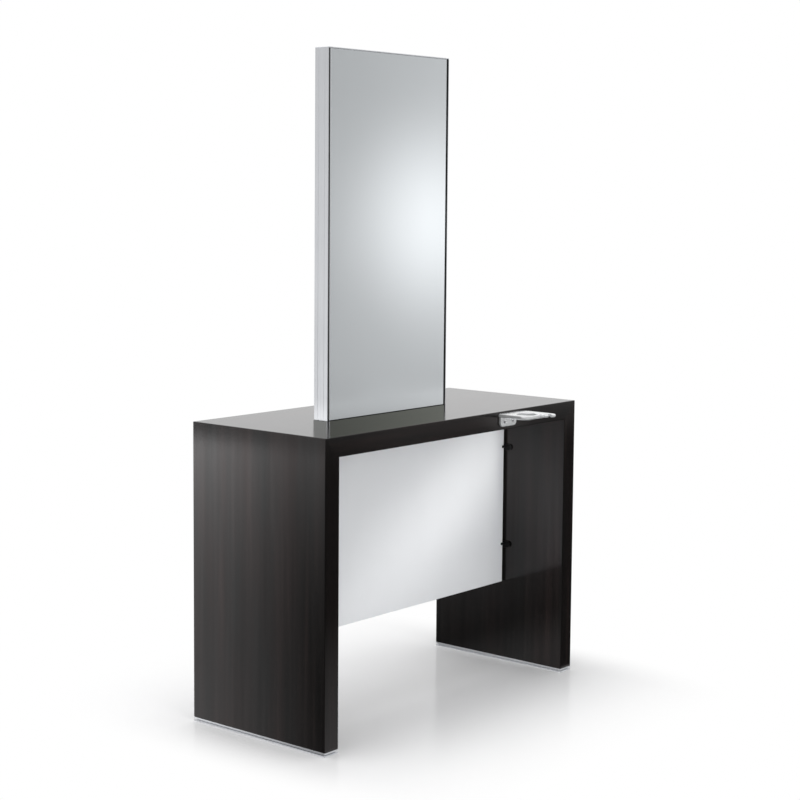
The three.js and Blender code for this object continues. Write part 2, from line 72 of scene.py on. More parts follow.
def camera_axes(yaw, pitch, roll):
    """Right, up and backward directions of a camera turned by yaw, tipped by pitch, then rolled."""
    forward = np.array([np.sin(yaw) * np.cos(pitch), np.cos(yaw) * np.cos(pitch), -np.sin(pitch)])
    level = np.array([np.cos(yaw), -np.sin(yaw), 0.0])
    upright = np.cross(level, forward)
    right = np.cos(roll) * level + np.sin(roll) * upright
    up = np.cos(roll) * upright - np.sin(roll) * level
    return np.stack([right, up, -forward], axis=1)


def put(name, data):
    """A new object in the scene."""
    made = bpy.data.objects.new(name, data)
    bpy.context.scene.collection.objects.link(made)
    return made


camera = put("camera", bpy.data.cameras.new("camera"))
camera.data.lens = CAMERA_LENS
camera.data.shift_y = CAMERA_RISE
turn = Matrix(camera_axes(CAMERA_YAW, CAMERA_PITCH, CAMERA_ROLL).tolist()).to_4x4()
camera.matrix_world = Matrix.Translation(CAMERA_PLACE) @ turn
bpy.context.scene.camera = camera
bpy.context.scene.view_settings.view_transform = "Standard"
print("camera at", CAMERA_PLACE)

# %% [markdown]
# ## Tools for finishes
# A finish is a Principled surface. Its patterns could be images, but an image repeats and blurs close
# up. So colour, roughness and bump come from noise on Object coordinates, and what stays the same all
# over is set on its own socket. Every piece sits at the origin, so these coordinates are metres in
# the station's frame, and a pattern keeps its real size. A socket knows the node tree that it is in,
# so a helper that is given a socket adds its node there.

# %% Tools for finishes
MIX_FACTOR, MIX_FIRST, MIX_SECOND, MIX_RESULT = 0, 6, 7, 2


def fill(made, inputs):
    """Give a node its inputs: sockets are linked, and plain values are set."""
    for key, value in inputs.items():
        if isinstance(value, bpy.types.NodeSocket):
            made.id_data.links.new(value, made.inputs[key])
        else:
            made.inputs[key].default_value = value


def node(tree, kind, inputs, **settings):
    """Add a shader node with its settings and its inputs."""
    made = tree.nodes.new(kind)
    for key, value in settings.items():
        setattr(made, key, value)
    fill(made, inputs)
    return made


def drive(material, **inputs):
    """Set or link inputs of a material's Principled surface."""
    named = {key.replace("_", " "): value for key, value in inputs.items()}
    fill(material.node_tree.nodes["Principled BSDF"], named)


def finish(name, **constants):
    """A new material, with the constants set on its Principled surface."""
    material = bpy.data.materials.new(name)
    material.use_nodes = True
    drive(material, **constants)
    return material


def object_place(material):
    """Object coordinates: the place on the piece, in metres."""
    return node(material.node_tree, "ShaderNodeTexCoord", {}).outputs["Object"]


def noise(material, stretch, detail, rough=0.55, twist=0.0):
    """Noise whose features are about 1 / stretch metres long, on all axes or on each of three."""
    scale = np.broadcast_to(stretch, 3).tolist()
    mapping = {"Vector": object_place(material), "Scale": scale}
    mapped = node(material.node_tree, "ShaderNodeMapping", mapping).outputs["Vector"]
    inputs = {"Vector": mapped, "Scale": 1.0, "Detail": detail, "Roughness": rough, "Distortion": twist}
    return node(material.node_tree, "ShaderNodeTexNoise", inputs).outputs[0]


def drawn_out(along, across, length):
    """Stretch of a noise for streaks: across on two axes, and length on the axis with index along."""
    stretch = np.full(3, across)
    stretch[along] = length
    return stretch


def between(value, low, high, start=0.3, stop=0.7):
    """Map the range from start to stop, by default the middle of a noise's, onto low to high."""
    inputs = {"Value": value, "From Min": start, "From Max": stop, "To Min": low, "To Max": high}
    return node(value.id_data, "ShaderNodeMapRange", inputs).outputs["Result"]


def ramp(value, stops):
    """A colour ramp through (position, colour) stops."""
    made = node(value.id_data, "ShaderNodeValToRGB", {"Fac": value})
    elements = made.color_ramp.elements
    while len(elements) < len(stops):
        elements.new(0.5)
    for element, (position, colour) in zip(elements, stops):
        element.position = position
        element.color = (*colour, 1.0)
    return made.outputs["Color"]


def blend(factor, first, second, how="MIX"):
    """Mix two colours by a factor. This node's sockets share their names, so they go by number."""
    inputs = {MIX_FACTOR: factor, MIX_FIRST: first, MIX_SECOND: second}
    made = node(first.id_data, "ShaderNodeMix", inputs, data_type="RGBA", blend_type=how)
    return made.outputs[MIX_RESULT]


def bump(height, depth, strength):
    """A normal from a height pattern that stands depth metres proud."""
    inputs = {"Height": height, "Distance": depth, "Strength": strength}
    return node(height.id_data, "ShaderNodeBump", inputs).outputs["Normal"]


def calculate(operation, result, *others):
    """Values joined one after the other by one operation, such as ADD or MULTIPLY."""
    for value in others:
        result = node(result.id_data, "ShaderNodeMath", {0: result, 1: value}, operation=operation).outputs[0]
    return result


def size_of(value):
    """A value without its sign."""
    return node(value.id_data, "ShaderNodeMath", {0: value}, operation="ABSOLUTE").outputs[0]


def part_of(vector, axis):
    """The part of a vector along the axis X, Y or Z."""
    return node(vector.id_data, "ShaderNodeSeparateXYZ", {"Vector": vector}).outputs[axis]


print("tools for finishes ready")

# %% [markdown]
# ## Dark veneer
# The slabs are covered in a nearly black, straight-grained veneer under a satin lacquer. A wave
# texture would give lines that are too regular. Noise drawn out along the board gives fine pores, a
# finger-wide figure and a slow reddish drift. On a surface this dark most of the light is sheen, so
# the figure tints the sheen as well as the wood. The legs have it upright and the worktop lengthwise.


# %% Dark veneer
def dark_veneer(name, along):
    """Veneer whose grain runs along the axis with index along."""
    material = finish(name, IOR=1.5)
    pores = noise(material, drawn_out(along, across=900.0, length=14.0), detail=2.0)
    figure = noise(material, drawn_out(along, across=46.0, length=1.2), detail=4.0, twist=0.5)
    drift = noise(material, drawn_out(along, across=14.0, length=1.4), detail=3.0)
    body = ramp(figure, [(0.30, (0.0042, 0.0039, 0.0038)), (0.52, (0.0070, 0.0060, 0.0057)),
                         (0.72, (0.0140, 0.0104, 0.0095))])
    sheen = ramp(figure, [(0.32, (0.85, 0.83, 0.83)), (0.52, (0.94, 0.915, 0.92)), (0.70, (1.01, 1.0, 1.01))])
    reddish = ramp(drift, [(0.38, (0.93, 0.96, 0.965)), (0.66, (1.16, 1.0, 0.985))])
    dark_pores = ramp(pores, [(0.36, (0.62, 0.6, 0.6)), (0.52, (1.0, 1.0, 1.0))])
    tinted = blend(1.0, body, reddish, how="MULTIPLY")
    drive(material, Base_Color=blend(1.0, tinted, dark_pores, how="MULTIPLY"),
          Specular_Tint=blend(0.6, sheen, reddish, how="MULTIPLY"),
          Roughness=between(pores, 0.17, 0.11), Normal=bump(pores, depth=0.00012, strength=0.35))
    return material


upright_veneer = dark_veneer("dark_veneer_upright", along=2)
level_veneer = dark_veneer("dark_veneer_level", along=0)
print("veneers", upright_veneer.name, level_veneer.name)

# %% [markdown]
# ## Metals and glass
# The tower's sides, its cap and the foot strips are brushed aluminium. Anisotropy could draw out the
# highlights, but in soft light the streaks themselves show more, so fine streaks along the bar change
# colour and roughness and stand as a shallow bump. Cap and strips are lighter and less metallic than
# the sides. The tool holder is a satin silver casting with slow waves under its shine, screws and
# feet are zinc plated, and the mirror is silvered glass with a faint haze.


# %% Metals and glass
def brushed_aluminium(name, along, metallic, grey):
    """Aluminium of about the given grey, with brush marks along the axis with index along."""
    material = finish(name, Metallic=metallic)
    marks = noise(material, drawn_out(along, across=1500.0, length=6.0), detail=3.0)
    cloud = noise(material, 5.0, detail=2.0)
    streaks = [(0.30, grey * np.array([0.90, 0.917, 0.95])), (0.70, grey * np.array([1.05, 1.067, 1.10]))]
    shade = ramp(cloud, [(0.30, (0.95, 0.95, 0.955)), (0.70, (1.0, 1.0, 1.0))])
    drive(material, Base_Color=blend(1.0, ramp(marks, streaks), shade, how="MULTIPLY"),
          Roughness=between(marks, 0.27, 0.40), Normal=bump(marks, depth=0.00003, strength=0.5))
    return material


def polished_casting():
    """A satin silver casting: slow waves left by the wheel, and a few duller patches."""
    material = finish("polished_casting", Metallic=0.72, IOR=1.6)
    waves = noise(material, 60.0, detail=2.0)
    wiped = noise(material, (420.0, 90.0, 420.0), detail=3.0)
    drive(material, Base_Color=ramp(waves, [(0.3, (0.78, 0.79, 0.80)), (0.7, (0.87, 0.88, 0.89))]),
          Roughness=between(wiped, 0.17, 0.26), Normal=bump(waves, depth=0.0002, strength=0.15))
    return material


def zinc_steel():
    """Zinc plate on steel: small crystals that differ a little in shade."""
    material = finish("zinc_steel", Metallic=1.0)
    inputs = {"Vector": object_place(material), "Scale": 700.0}
    crystals = node(material.node_tree, "ShaderNodeTexVoronoi", inputs).outputs["Color"]
    grey = node(material.node_tree, "ShaderNodeSeparateColor", {"Color": crystals}).outputs[0]
    drive(material, Base_Color=ramp(grey, [(0.0, (0.50, 0.51, 0.53)), (1.0, (0.66, 0.67, 0.69))]),
          Roughness=between(grey, 0.28, 0.42, start=0.0, stop=1.0))
    return material


def mirror_glass():
    """Silvered glass with a haze of wiping. Its bevel, where the normal leaves Y, is ground and darker."""
    material = finish("mirror_glass", Metallic=1.0)
    haze = noise(material, (3.0, 3.0, 1.5), detail=4.0)
    silver = ramp(haze, [(0.3, (0.84, 0.875, 0.90)), (0.7, (0.87, 0.905, 0.93))])
    facing = node(material.node_tree, "ShaderNodeTexCoord", {}).outputs["Normal"]
    ground = between(size_of(part_of(facing, "Y")), 1.0, 0.0, start=0.95, stop=0.99)
    drive(material, Base_Color=blend(ground, silver, (0.50, 0.515, 0.53, 1.0)),
          Roughness=between(haze, 0.24, 0.27))
    return material


side_aluminium = brushed_aluminium("brushed_aluminium_upright", along=2, metallic=1.0, grey=0.60)
strip_aluminium = brushed_aluminium("brushed_aluminium_lengthwise", along=1, metallic=0.6, grey=0.76)
cap_aluminium = brushed_aluminium("brushed_aluminium_crosswise", along=0, metallic=0.6, grey=0.80)
casting = polished_casting()
zinc = zinc_steel()
silvered = mirror_glass()
metals = (side_aluminium, strip_aluminium, cap_aluminium, casting, zinc, silvered)
print("metals", [metal.name for metal in metals])

# %% [markdown]
# ## Lacquer, plastic and board
# The panel is satin white lacquer, clips and trims are black plastic, and the core of the tower is
# raw board. Each could be a plain colour, but would then look drawn. A slight orange peel breaks up
# the sheen of the lacquer, a fine grain dulls the plastic, and flakes give the board its speckle.


# %% Lacquer, plastic and board
def white_lacquer():
    """Satin white lacquer with a slight orange peel."""
    material = finish("white_lacquer", IOR=1.5, Coat_Weight=0.5, Coat_Roughness=0.22)
    cloud = noise(material, 4.0, detail=2.0)
    peel = noise(material, 420.0, detail=1.0)
    drive(material, Base_Color=ramp(cloud, [(0.3, (0.775, 0.79, 0.81)), (0.7, (0.81, 0.825, 0.845))]),
          Roughness=between(peel, 0.36, 0.44), Normal=bump(peel, depth=0.00006, strength=0.4))
    return material


def black_plastic():
    """Matt black plastic with a fine spark-eroded grain."""
    material = finish("black_trim", IOR=1.46, Specular_IOR_Level=0.12)
    grain = noise(material, 1800.0, detail=1.0)
    drive(material, Base_Color=ramp(grain, [(0.3, (0.003, 0.003, 0.0032)), (0.7, (0.007, 0.007, 0.0074))]),
          Roughness=between(grain, 0.42, 0.58), Normal=bump(grain, depth=0.00005, strength=0.5))
    return material


def raw_board():
    """Raw particle board: flakes of light and dark wood."""
    material = finish("core_board", Specular_IOR_Level=0.2)
    flakes = noise(material, (220.0, 220.0, 420.0), detail=3.0, rough=0.7)
    drive(material, Base_Color=ramp(flakes, [(0.3, (0.24, 0.16, 0.09)), (0.7, (0.50, 0.38, 0.24))]),
          Roughness=between(flakes, 0.75, 0.95), Normal=bump(flakes, depth=0.0003, strength=0.5))
    return material


lacquer = white_lacquer()
plastic = black_plastic()
board = raw_board()
print("lacquer, plastic and board", lacquer.name, plastic.name, board.name)

# %% [markdown]
# ## Tools for shapes
# Most pieces are bars: a section carried along an axis, with a quarter round at each end. A box with
# a Bevel modifier could do for some, but not where a round stops at a mitre or a groove runs along.
# A section holds its points and, for each, the direction in which it is drawn in near the ends.
# Rings of points are stacked as one array, and quads join each ring to the next.

# %% Tools for sections
EDGE_STEPS = 5


def arc(centre, radius, start, stop, steps=EDGE_STEPS):
    """Points of a circular arc from start to stop degrees, and their outward directions."""
    angle = np.radians(np.linspace(start, stop, steps))
    outward = np.stack([np.cos(angle), np.sin(angle)], axis=1)
    return np.asarray(centre) + radius * outward, outward


def corner(point, outward):
    """A sharp corner: a single point that is drawn in against outward."""
    return np.array([point], float), np.array([outward], float)


def section(*stretches):
    """Join arcs and corners into one closed section."""
    points, outward = zip(*stretches)
    return np.concatenate(points), np.concatenate(outward)


def rounded_rectangle(low, high, radius):
    """A rectangle from low to high, with a quarter circle at each corner."""
    (x0, y0), (x1, y1) = np.add(low, radius), np.subtract(high, radius)
    return section(arc((x0, y0), radius, 180, 270), arc((x1, y0), radius, 270, 360),
                   arc((x1, y1), radius, 0, 90), arc((x0, y1), radius, 90, 180))


def flip(outline, side):
    """Mirror a section in its first axis where side is negative."""
    points, outward = outline
    return points * (side, 1), outward * (side, 1)


print("tools for sections ready")

# %% Tools for shells
AXES = {"X": (1, 2, 0), "Y": (0, 2, 1), "Z": (0, 1, 2)}
TURN_STEPS = 48


def band(grid):
    """Quads between the rows of a grid of vertex numbers, closed round each row."""
    beside = np.roll(grid, -1, axis=1)
    return np.stack([grid[:-1], beside[:-1], beside[1:], grid[1:]], axis=-1).reshape(-1, 4).tolist()


def stacked(rings, joined=False):
    """A closed shell from rings of points: capped at both ends, or joined from last to first."""
    count, size = rings.shape[:2]
    grid = np.arange(count * size).reshape(count, size)
    if joined:
        faces = band(np.concatenate([grid, grid[:1]]))
    else:
        faces = band(grid) + [grid[0].tolist(), grid[-1].tolist()]
    return rings.reshape(-1, 3), faces


def eased_bar(outline, low, high, axis, ease, notch=()):
    """A section carried from low to high along an axis, with a quarter round at both ends.

    At the turn t the ring stands ease (1 - cos t) inside the end, and its points are drawn in by
    ease (1 - sin t) against their outward directions. A notch is a list of (place, inset) pairs.
    """
    angle = np.radians(np.linspace(0, 90, EDGE_STEPS))
    inset = ease * (1 - np.sin(angle))
    place = low + ease * (1 - np.cos(angle))
    middle = np.reshape(notch, (-1, 2))
    inset = np.concatenate([inset, middle[:, 1], inset[::-1]])
    place = np.concatenate([place, middle[:, 0], low + high - place[::-1]])
    points, outward = outline
    across, upward, along = AXES[axis]
    rings = np.empty((len(place), len(points), 3))
    rings[..., [across, upward]] = points - inset[:, None, None] * outward
    rings[..., along] = place[:, None]
    return stacked(rings)


def turned(profile, steps=TURN_STEPS):
    """A profile of (radius, height) points, from axis to axis, turned about Z."""
    radius, height = np.asarray(profile, float).T
    angle = np.linspace(0, 2 * np.pi, steps, endpoint=False)
    return stacked(np.stack([np.outer(radius, np.cos(angle)), np.outer(radius, np.sin(angle)),
                             np.outer(height, np.ones(steps))], axis=-1))


def bored(place, *steps):
    """A round hole at a place in X and Y, in (radius, low, high) steps from the bottom up."""
    wall = [(radius, level) for radius, low, high in steps for level in (low, high)]
    vertices, faces = turned([(0, wall[0][1]), *wall, (0, wall[-1][1])])
    return vertices + (*place, 0), faces


print("tools for shells ready")

# %% [markdown]
# ## Tools that make pieces
# A shell of points and faces becomes an object here. Holes could be modelled face by face, but then
# every face round a hole has to be split by hand. A Boolean modifier with the exact solver cuts or
# unites whole shells, and its result is kept as the piece's own mesh. A finished piece is shaded,
# gets its finish, and rides on a body in place of the solids that it dresses.

# %% Tools that make pieces
SHARP_ANGLE = np.radians(40)
DOUBLES = 1e-7
OVERRUN = 0.001


def solid(name, shell):
    """A mesh object from vertices and faces, with doubles merged and its faces pointing out."""
    vertices, faces = shell
    mesh = bpy.data.meshes.new(name)
    mesh.from_pydata(vertices.tolist(), [], faces)
    edit = bmesh.new()
    edit.from_mesh(mesh)
    bmesh.ops.remove_doubles(edit, verts=edit.verts, dist=DOUBLES)
    bmesh.ops.recalc_face_normals(edit, faces=edit.faces)
    edit.to_mesh(mesh)
    edit.free()
    return put(name, mesh)


def combine(target, shells, operation):
    """Join shells to the target, or cut them out of it, and keep the result as its mesh."""
    tools = [solid(f"{target.name}_tool", shell) for shell in shells]
    for tool in tools:
        step = target.modifiers.new("combine", "BOOLEAN")
        step.operation = operation
        step.solver = "EXACT"
        step.object = tool
    depsgraph = bpy.context.evaluated_depsgraph_get()
    made = bpy.data.meshes.new_from_object(target.evaluated_get(depsgraph))
    target.modifiers.clear()
    target.data = made
    for tool in tools:
        bpy.data.objects.remove(tool)


def dress(piece, material, slot, body, *nodes):
    """Shade a piece, give it its finish, and let it ride on a body in place of its solids."""
    piece.data.materials.clear()
    piece.data.materials.append(material)
    piece.data.polygons.foreach_set("use_smooth", np.ones(len(piece.data.polygons), bool))
    piece.data.set_sharp_from_angle(angle=SHARP_ANGLE)
    weighted = piece.modifiers.new("even_flats", "WEIGHTED_NORMAL")
    weighted.keep_sharp = True
    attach(piece, body)
    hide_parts(*nodes)
    print(piece.name, len(piece.data.vertices), "points for", ", ".join(nodes))


def spans(name):
    """Lowest and highest corner of a solid, as arrays."""
    low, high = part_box(name)
    return np.array(low), np.array(high)


def plan_middle(name):
    """The middle of a solid's box, in X and Y."""
    return (np.add(*spans(name)) / 2)[:2]


def eased_plate(name, node_name, radius, ease):
    """An upright plate as large as a solid, with round upright edges and eased ends."""
    low, high = spans(node_name)
    outline = rounded_rectangle(low[:2], high[:2], radius)
    return solid(name, eased_bar(outline, low[2], high[2], "Z", ease))


print("tools that make pieces ready")

# %% [markdown]
# ## Table
# Three slabs of board meet in 45 degree mitres, so the veneer seems to fold over the corner. A
# bevelled box would round the mitre itself and open the joint. So each slab is its section in X and
# Z carried along Y. Its arrises are eased by two millimetres, as veneered board is, or the corners
# would chip: at a mitre each slab has half of the round. The lower end of a leg has two holes for
# the threaded inserts in which the levelling feet turn.

# %% Legs
ARRIS = 0.0021
INSERT_PLAY = 0.0001
SIDES = {"left": -1.0, "right": 1.0}
ENDS = {"front": -1.0, "rear": 1.0}
(inner_x, front_y, leg_bottom), (outer_x, rear_y, top_level) = spans("right_leg")
underside = spans("worktop")[0][2]

leg_outline = section(
    arc((inner_x + ARRIS, leg_bottom + ARRIS), ARRIS, 180, 270),
    arc((outer_x - ARRIS, leg_bottom + ARRIS), ARRIS, 270, 360),
    arc((outer_x - ARRIS, top_level - ARRIS), ARRIS, 0, 45),
    corner((inner_x, underside), (-1, -1)),
)
for side_name, side in SIDES.items():
    leg = solid(f"{side_name}_leg_slab", eased_bar(flip(leg_outline, side), front_y, rear_y, "Y", ARRIS))
    holes = []
    for end_name in ENDS:
        name = f"foot_insert_{end_name}_{side_name}"
        low, high = spans(name)
        radius = (high[0] - low[0]) / 2 + INSERT_PLAY
        holes.append(bored(plan_middle(name), (radius, leg_bottom - OVERRUN, high[2] + INSERT_PLAY)))
    combine(leg, holes, "DIFFERENCE")
    dress(leg, upright_veneer, "dark_veneer", "station", f"{side_name}_leg")

# %% [markdown]
# Two bolts hold the tower from below. Their heads sit in round pockets under the worktop, which
# are cut out of the slab so that the heads can be seen and reached.

# %% Worktop
POCKET_RADIUS = 0.012
POCKET_DEPTH = 0.011

top_outline = section(
    corner((-inner_x, underside), (1, -1)),
    corner((inner_x, underside), (-1, -1)),
    arc((outer_x - ARRIS, top_level - ARRIS), ARRIS, 45, 90),
    arc((ARRIS - outer_x, top_level - ARRIS), ARRIS, 90, 135),
)
worktop = solid("worktop_slab", eased_bar(top_outline, front_y, rear_y, "Y", ARRIS))
pocket = (POCKET_RADIUS, underside - OVERRUN, underside + POCKET_DEPTH)
combine(worktop, [bored(plan_middle(f"tower_bolt_{name}"), pocket) for name in SIDES], "DIFFERENCE")
dress(worktop, level_veneer, "dark_veneer", "station", "worktop")

# %% [markdown]
# ## Foot strips
# A flat aluminium bar keeps each leg off the floor, with a fine dark groove at half its height. The
# groove could be cut with a second bar, but the plan is carried upwards anyway: drawing it in at the
# groove lets the groove run all the way round. A round pocket near each end takes a levelling foot.

# %% Foot strips
STRIP_EASE = 0.0008
STRIP_CORNER = 0.002
STRIP_GROOVE = 0.0040
STRIP_GROOVE_DEPTH = 0.0065
FOOT_POCKET_RADIUS = 0.017
FOOT_POCKET_DEPTH = 0.0095
STRIP_BORE_RADIUS = 0.0062

for side_name in SIDES:
    low, high = spans(f"{side_name}_foot_strip")
    plan = rounded_rectangle(low[:2], high[:2], STRIP_CORNER)[0]
    outline = plan, np.sign(plan - (low + high)[:2] / 2)
    lips = (low[2] + high[2]) / 2 + np.array([-0.5, -0.5, 0.5, 0.5]) * STRIP_GROOVE
    notch = np.stack([lips, [0.0, STRIP_GROOVE_DEPTH, STRIP_GROOVE_DEPTH, 0.0]], axis=1)
    strip = solid(f"{side_name}_foot_bar", eased_bar(outline, low[2], high[2], "Z", STRIP_EASE, notch))
    ceiling = low[2] + FOOT_POCKET_DEPTH
    pocket = (FOOT_POCKET_RADIUS, low[2] - OVERRUN, ceiling)
    bore = (STRIP_BORE_RADIUS, ceiling, high[2] + OVERRUN)
    places = [plan_middle(f"levelling_foot_{end_name}_{side_name}") for end_name in ENDS]
    combine(strip, [bored(place, pocket, bore) for place in places], "DIFFERENCE")
    dress(strip, strip_aluminium, "brushed_aluminium", "station", f"{side_name}_foot_strip")

# %% [markdown]
# ## Levelling feet
# A foot is a turned disc on a threaded stud. A Screw modifier could wind the thread, but would leave
# its ends open. So the foot is turned as one closed shell, and the points of the stud follow a wave
# whose crest climbs one pitch in each turn.

# %% Levelling feet
THREAD_PITCH = 0.0015
THREAD_DEPTH = 0.0009
RINGS_PER_PITCH = 4
STUD_RADIUS = 0.005
DISC_RADIUS = 0.015
DISC_EDGE = 0.0012
DISC_HEIGHT = 0.005
CONE_TOP = 0.008
FOOT_STEPS = 40


def levelling_foot(low, high, place):
    """A disc with a round edge, a cone and a stud, turned about Z.

    On the stud the radius is STUD_RADIUS less a triangle wave of THREAD_DEPTH, whose phase is
    height / pitch less angle / 2 pi, so that the crest is a helix.
    """
    edge_points = arc((DISC_RADIUS - DISC_EDGE, low + DISC_EDGE), DISC_EDGE, 270, 360)[0]
    upper_points = arc((DISC_RADIUS - DISC_EDGE, low + DISC_HEIGHT - DISC_EDGE), DISC_EDGE, 0, 90)[0]
    stud = np.arange(low + CONE_TOP, high - THREAD_PITCH, THREAD_PITCH / RINGS_PER_PITCH)
    stud_points = np.stack([np.full_like(stud, STUD_RADIUS), stud], axis=1)
    tip = [(STUD_RADIUS - THREAD_DEPTH, high), (0, high)]
    profile = np.concatenate([[(0, low)], edge_points, upper_points, stud_points, tip])
    vertices, faces = turned(profile, FOOT_STEPS)
    rings = vertices.reshape(len(profile), FOOT_STEPS, 3)
    angle = np.linspace(0, 1, FOOT_STEPS, endpoint=False)
    phase = (rings[..., 2] - low) / THREAD_PITCH - angle
    depth = np.abs(phase % 1.0 - 0.5) * 2 * THREAD_DEPTH
    on_stud = (rings[..., 2] > low + CONE_TOP) & (rings[..., 2] < high - THREAD_PITCH)
    rings[..., :2] *= np.where(on_stud, 1 - depth / STUD_RADIUS, 1.0)[..., None]
    return vertices + (*place, 0), faces


for end_name in ENDS:
    for side_name in SIDES:
        name = f"levelling_foot_{end_name}_{side_name}"
        low, high = spans(name)
        foot = solid(f"{name}_turned", levelling_foot(low[2], high[2], plan_middle(name)))
        dress(foot, zinc, "zinc_steel", f"foot_{end_name}_{side_name}", name)

# %% [markdown]
# ## White panel
# The panel stands between the legs with a narrow gap all round. Its upright edges are well rounded,
# its top and bottom only eased. One Bevel modifier would give all edges the same round, so the plan
# has its own round corners and is carried upwards with a smaller ease.

# %% White panel
PANEL_RADIUS = 0.005
PANEL_EASE = 0.0015

panel = eased_plate("white_panel", "modesty_panel", PANEL_RADIUS, PANEL_EASE)
dress(panel, lacquer, "white_lacquer", "station", "modesty_panel")

# %% [markdown]
# ## Clips
# Small black clips hold the panel to the legs: a round-ended plate with a finger over each face of
# the panel. One outline could not give both, because plate and fingers lie in different planes. So
# they are separate bars, joined into one moulding.

# %% Clips
CLIP_EASE = 0.0012
CLIP_PLATE = 0.0074
CLIP_END_STEPS = 16
FINGER_DEPTH = 0.005
FINGER_HEIGHT = 0.008
FINGER_RISE = 0.002
FINGER_GAP = 0.0003
(_, panel_front, _), (_, panel_rear, _) = spans("modesty_panel")


def clip_shells(low, high, side):
    """The plate of a clip, as a bar along X with half-round ends, and its two fingers."""
    wall = (high[0] - CLIP_PLATE, high[0]) if side > 0 else (low[0], low[0] + CLIP_PLATE)
    radius = (high[2] - low[2]) / 2
    middle = (high[2] + low[2]) / 2
    stadium = section(arc((high[1] - radius, middle), radius, -90, 90, CLIP_END_STEPS),
                      arc((low[1] + radius, middle), radius, 90, 270, CLIP_END_STEPS))
    plate = eased_bar(stadium, *wall, "X", CLIP_EASE)
    bottom = middle + FINGER_RISE - FINGER_HEIGHT / 2
    reach = (low[0], np.mean(wall)) if side > 0 else (np.mean(wall), high[0])
    fingers = []
    for near in (panel_front - FINGER_GAP - FINGER_DEPTH, panel_rear + FINGER_GAP):
        outline = rounded_rectangle((near, bottom), (near + FINGER_DEPTH, bottom + FINGER_HEIGHT), CLIP_EASE)
        fingers.append(eased_bar(outline, *reach, "X", CLIP_EASE))
    return plate, fingers


for side_name, side in SIDES.items():
    for level in ("lower", "upper"):
        name = f"panel_clip_{side_name}_{level}"
        plate, fingers = clip_shells(*spans(name), side)
        clip = solid(f"{name}_moulding", plate)
        combine(clip, fingers, "UNION")
        dress(clip, plastic, "black_trim", "station", name)

# %% [markdown]
# ## Mirror tower
# The tower is a board with a bevelled mirror on each face. The mirrors keep their solids, whose
# bevels are exact. Each side is closed by a brushed profile: two fine grooves run down it, one near
# each edge. They could be dark lines in the finish, but as notches in the section they catch light
# at any angle. Between profile and glass lies a recessed black trim, and a thin cap closes the top.

# %% Side profiles, trims and cap
PROFILE_ROUND = 0.0007
PROFILE_EASE = 0.0003
GROOVE_FROM_EDGE = 0.014
GROOVE_HALF = 0.0007
GROOVE_DEPTH = 0.0008
TRIM_EASE = 0.0006
CAP_EASE = 0.0006


def groove(y):
    """A notch in the outer face, which looks along -x at x = 0: two lips and the bottom."""
    points = np.array([[0, y + GROOVE_HALF], [GROOVE_DEPTH, y], [0, y - GROOVE_HALF]])
    return points, np.repeat([[-1.0, 0.0]], 3, axis=0)


for side_name, side in SIDES.items():
    name = f"tower_{side_name}_profile"
    low, high = spans(name)
    wall, half = high[0] - low[0], high[1]
    outline = section(
        arc((PROFILE_ROUND, half - PROFILE_ROUND), PROFILE_ROUND, 90, 180),
        groove(half - GROOVE_FROM_EDGE),
        groove(GROOVE_FROM_EDGE - half),
        arc((PROFILE_ROUND, PROFILE_ROUND - half), PROFILE_ROUND, 180, 270),
        corner((wall, -half), (1, -1)),
        corner((wall, half), (1, 1)),
    )
    points, outward = flip(outline, -side)
    points[:, 0] += high[0] if side > 0 else low[0]
    profile = solid(f"{name}_extrusion", eased_bar((points, outward), low[2], high[2], "Z", PROFILE_EASE))
    dress(profile, side_aluminium, "brushed_aluminium", "station", name)
    for end_name in ENDS:
        name = f"edge_trim_{end_name}_{side_name}"
        trim = eased_plate(f"{name}_strip", name, TRIM_EASE, TRIM_EASE)
        dress(trim, plastic, "black_trim", "station", name)

cap = eased_plate("tower_cap_plate", "tower_cap", CAP_EASE, CAP_EASE)
dress(cap, cap_aluminium, "brushed_aluminium", "station", "tower_cap")

# %% [markdown]
# ## Tool holder
# The holder is one casting: a plate with a large ring for a dryer, a small open ring for an iron,
# and a flange with two screws. Cylinders cut out of a plate would leave hard rims to be bevelled.
# So both rings are slabs round a hole: at each angle the slab's section runs from the hole's edge to
# the outline, with rounded rims, and the sections are joined all the way round. The small ring
# leaves out the angles of its slot. All three parts are then united.

# %% The holder's own sizes
PLATE_LEFT, PLATE_RIGHT = -0.056, 0.070
PLATE_REAR, PLATE_FRONT = -0.0003, -0.104
FRONT_ROUND = 0.022
TIP_ROUND = 0.006
REAR_ROUND = 0.028
PLATE_THICKNESS = 0.012
RIM = 0.0034
RING_CENTRE = np.array([0.0, -0.066])
RING_RADIUS = 0.0325
LOBE_CENTRE = np.array([0.046, -0.112])
LOBE_RADIUS = 0.024
LOBE_HOLE = 0.011
LOBE_THICKNESS = 0.008
LOBE_RIM = 0.0026
LOBE_SINK = 0.0001
SLOT_MIDDLE = -125
SLOT_HALF = 15.5
NECK_REAR = -0.094
NOTCH_RADIUS = 0.008
print("holder plate", PLATE_RIGHT - PLATE_LEFT, "by", PLATE_REAR - PLATE_FRONT)

# %% Rings of the holder
RING_STEPS = 288
RIM_STEPS = 6
ROUND_STEPS = 16
TIP_STEPS = 8
NOTCH_STEPS = 12
LOBE_STEPS = 48
POINTS_PER_SIDE = 60


def reach_at(outline, centre, angle):
    """Distance from a centre to an outline at each angle, for an outline seen whole from there."""
    away = outline - centre
    bearing = np.arctan2(away[:, 1], away[:, 0])
    return np.interp(angle, bearing, np.hypot(*away.T), period=2 * np.pi)


